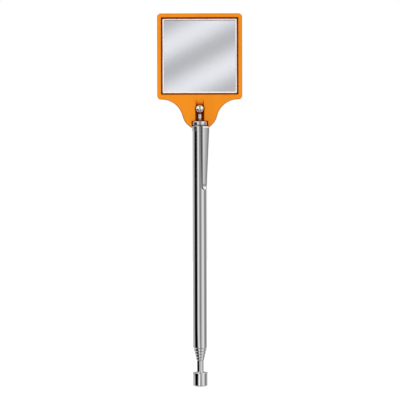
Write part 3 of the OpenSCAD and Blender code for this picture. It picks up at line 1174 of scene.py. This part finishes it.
# Heights are slopes, rise over run. Each pair is where a change starts and where it is complete.
# Below this the bands on the viewer's left lie nearer the middle.
LEAN_SLOPES = (-0.095, -0.125)
LEAN = math.radians(10)
# Below this the bands on the left are brighter.
BOOST_SLOPES = (-0.12, -0.135)
BOOST = 0.25
# In a narrow zone the dark band on the left is wider.
WIDE_TOP_SLOPES = (-0.119, -0.122)
WIDE_LOW_SLOPES = (-0.132, -0.1305)
WIDE_SCALE = 0.6
WIDE_OFFSET = math.radians(-22)
# Lower down the bands fade, with soft light from the sides.
FADE_SLOPES = (-0.2, -0.4)
FADE_SCALE = 0.6
FADE_DROP = 0.1
FADE_LEAST = 0.03
SIDE_ANGLES = (0.9, 1.4)
SIDE_LIGHT = 0.38
# Steeply down everything is one grey.
FLOOR_SLOPES = (-1.7, -2.6)
FLOOR_LEVEL = 0.6
# Above the horizon: grey ahead and at the back, bright on both sides, dimmer overhead.
UPPER_SLOPES = (0.063, 0.08)
UPPER_LEVEL = 0.41
UPPER_SIDES = 0.72
UPPER_SIDE_START = (0.26, 0.6)
UPPER_SIDE_END = (1.75, 1.45)
OVERHEAD_SLOPES = (0.9, 2.2)
OVERHEAD_LEVEL = 0.3
# Slanting bands in the mirror: radians of the wave per unit of rise and per radian of azimuth.
# The second is a whole number, so that the bands meet at the back.
MIRROR_WAVE_RISE = -162.9
MIRROR_WAVE_ROUND = 84.0
MIRROR_WAVE_START = 21.04
MIRROR_MEAN = 0.705
MIRROR_CONTRAST = 0.18
MIRROR_TINT = (1.045, 1.0, 1.05)
# Light on matt surfaces: its mean, and its changes upwards, to the right and to the front.
MATT_MEAN = 0.92
MATT_UP = 0.1
MATT_RIGHT = -0.06
MATT_FRONT = 0.06


def make_world():
    """Striped studio for metal, slanting bands for the mirror and even light for matt surfaces."""
    world = bpy.data.worlds.new("studio")
    scene.world = world
    world.use_nodes = True
    world.cycles.sampling_method = "NONE"
    graph = Graph(world.node_tree)
    split = graph.node("ShaderNodeSeparateXYZ")
    graph.feed(graph.node("ShaderNodeTexCoord").outputs["Generated"], split.inputs[0])
    x, y, z = split.outputs
    front = graph.math("MULTIPLY", y, -1.0)
    level = graph.math("ADD", graph.math("MULTIPLY", x, x), graph.math("MULTIPLY", y, y))
    level = graph.math("SQRT", level)
    slope = graph.math("DIVIDE", z, graph.math("MAXIMUM", level, 0.01))
    azimuth = graph.math("ARCTAN2", x, front)
    path = graph.node("ShaderNodeLightPath")
    through_pane = mirror_view(graph, azimuth, z)
    colour = graph.mix(path.outputs["Is Transmission Ray"], metal_view(graph, azimuth, slope), through_pane)
    colour = graph.mix(path.outputs["Is Diffuse Ray"], colour, matt_light(graph, x, front, z))
    colour = graph.mix(path.outputs["Is Camera Ray"], colour, (1, 1, 1, 1))
    background = graph.node("ShaderNodeBackground")
    graph.feed(colour, background.inputs["Color"])
    output = graph.node("ShaderNodeOutputWorld")
    graph.feed(background.outputs[0], output.inputs["Surface"])


def band_azimuth(graph, azimuth, slope, left_side):
    """Azimuth at which the bands are read, which shifts and widens them low down on the left."""
    lean = graph.math("MULTIPLY", graph.step(slope, *LEAN_SLOPES), LEAN)
    azimuth = graph.math("SUBTRACT", azimuth, graph.math("MULTIPLY", lean, left_side))
    zone = graph.math("MULTIPLY", graph.step(slope, *WIDE_TOP_SLOPES), graph.step(slope, *WIDE_LOW_SLOPES))
    wide = graph.math("MULTIPLY_ADD", azimuth, WIDE_SCALE, WIDE_OFFSET)
    return graph.mix_value(graph.math("MULTIPLY", zone, left_side), azimuth, wide)


def metal_view(graph, azimuth, slope):
    """Brightness that metal reflects from a direction."""
    left_side = graph.step(azimuth, 0.2, -0.2)
    azimuth = band_azimuth(graph, azimuth, slope, left_side)
    turn = graph.math("ADD", graph.math("DIVIDE", azimuth, 2 * math.pi), 0.5)
    bands = graph.ramp(turn, [(angle / 360 + 0.5, level) for angle, level in STUDIO_BANDS])
    boost = graph.math("MULTIPLY", graph.step(slope, *BOOST_SLOPES), left_side)
    bands = graph.math("MULTIPLY", bands, graph.math("MULTIPLY_ADD", boost, BOOST, 1.0))
    view = graph.mix_value(graph.step(slope, *FADE_SLOPES), bands, faded(graph, bands, azimuth))
    view = graph.mix_value(graph.step(slope, *FLOOR_SLOPES), view, FLOOR_LEVEL)
    return graph.mix_value(graph.step(slope, *UPPER_SLOPES), view, upper_view(graph, azimuth, slope))


def faded(graph, bands, azimuth):
    """The bands as they are low down, with soft light from both sides."""
    beside = graph.step(graph.math("ABSOLUTE", azimuth), *SIDE_ANGLES)
    soft = graph.math("SUBTRACT", graph.math("MULTIPLY", bands, FADE_SCALE), FADE_DROP)
    soft = graph.math("MAXIMUM", soft, FADE_LEAST)
    return graph.math("ADD", soft, graph.math("MULTIPLY", beside, SIDE_LIGHT))


def upper_view(graph, azimuth, slope):
    """What metal sees above the horizon."""
    aside = graph.math("ABSOLUTE", azimuth)
    sides = graph.math("MULTIPLY", graph.step(aside, *UPPER_SIDE_START), graph.step(aside, *UPPER_SIDE_END))
    value = graph.math("MULTIPLY_ADD", sides, UPPER_SIDES, UPPER_LEVEL)
    return graph.mix_value(graph.step(slope, *OVERHEAD_SLOPES), value, OVERHEAD_LEVEL)


def mirror_view(graph, azimuth, z):
    """Soft bright bands on a slant, which the mirror shows through its pane from any side."""
    phase = graph.math("MULTIPLY_ADD", z, MIRROR_WAVE_RISE, MIRROR_WAVE_START)
    phase = graph.math("ADD", phase, graph.math("MULTIPLY", azimuth, MIRROR_WAVE_ROUND))
    value = graph.math("MULTIPLY_ADD", graph.math("COSINE", phase), MIRROR_CONTRAST, MIRROR_MEAN)
    return graph.scaled(MIRROR_TINT, value)


def matt_light(graph, x, front, z):
    """Even light for matt surfaces, a little stronger from above, the left and the front."""
    value = graph.math("MULTIPLY_ADD", z, MATT_UP, MATT_MEAN)
    value = graph.math("MULTIPLY_ADD", x, MATT_RIGHT, value)
    return graph.math("MULTIPLY_ADD", front, MATT_FRONT, value)


FLOOR_REACH = 1.6
# The floor lies just under the magnet's face.
FLOOR_Z = -0.1 * MM
FLOOR_GLOW = 0.45


def make_floor():
    """Pale floor, which shiny pieces and the mirror don't reflect."""
    bm = bmesh.new()
    signs = ((-1, -1), (1, -1), (1, 1), (-1, 1))
    bm.faces.new([bm.verts.new((x * FLOOR_REACH, y * FLOOR_REACH, FLOOR_Z)) for x, y in signs])
    obj = finish_mesh(bm, "studio_floor")
    material, graph, shader = new_material("studio_floor")
    mottle = graph.object_noise(9.0, detail=2.0)
    tone = graph.mix(mottle, (0.9, 0.9, 0.9, 1), (0.93, 0.93, 0.93, 1))
    graph.feed(tone, shader.inputs["Base Color"])
    shader.inputs["Roughness"].default_value = 0.8
    shader.inputs["Specular IOR Level"].default_value = 0.1
    shader.inputs["Emission Color"].default_value = (1, 1, 1, 1)
    shader.inputs["Emission Strength"].default_value = FLOOR_GLOW
    obj.data.materials.append(material)
    obj.visible_glossy = False
    obj.visible_transmission = False


# The camera looks level along +Y from this far, at a view this wide in the tool's plane.
CAMERA_DISTANCE = 0.79
CAMERA_X = -0.02 * MM
CAMERA_Z = 111.36 * MM
VIEW_WIDTH = 0.24
SENSOR = 36.0
ROLL = math.radians(0.143)


def make_camera():
    """Camera level with the middle of the tool, square on to the mirror."""
    data = bpy.data.cameras.new("camera")
    data.sensor_width = SENSOR
    data.lens = SENSOR * CAMERA_DISTANCE / VIEW_WIDTH
    data.clip_start = 0.01
    data.clip_end = 10
    camera = bpy.data.objects.new("camera", data)
    scene.collection.objects.link(camera)
    camera.location = (CAMERA_X, -CAMERA_DISTANCE, CAMERA_Z)
    camera.rotation_euler = (math.radians(90), ROLL, 0)
    scene.camera = camera


make_world()
make_floor()
make_camera()
scene.view_settings.view_transform = "Standard"
scene.view_settings.look = "None"
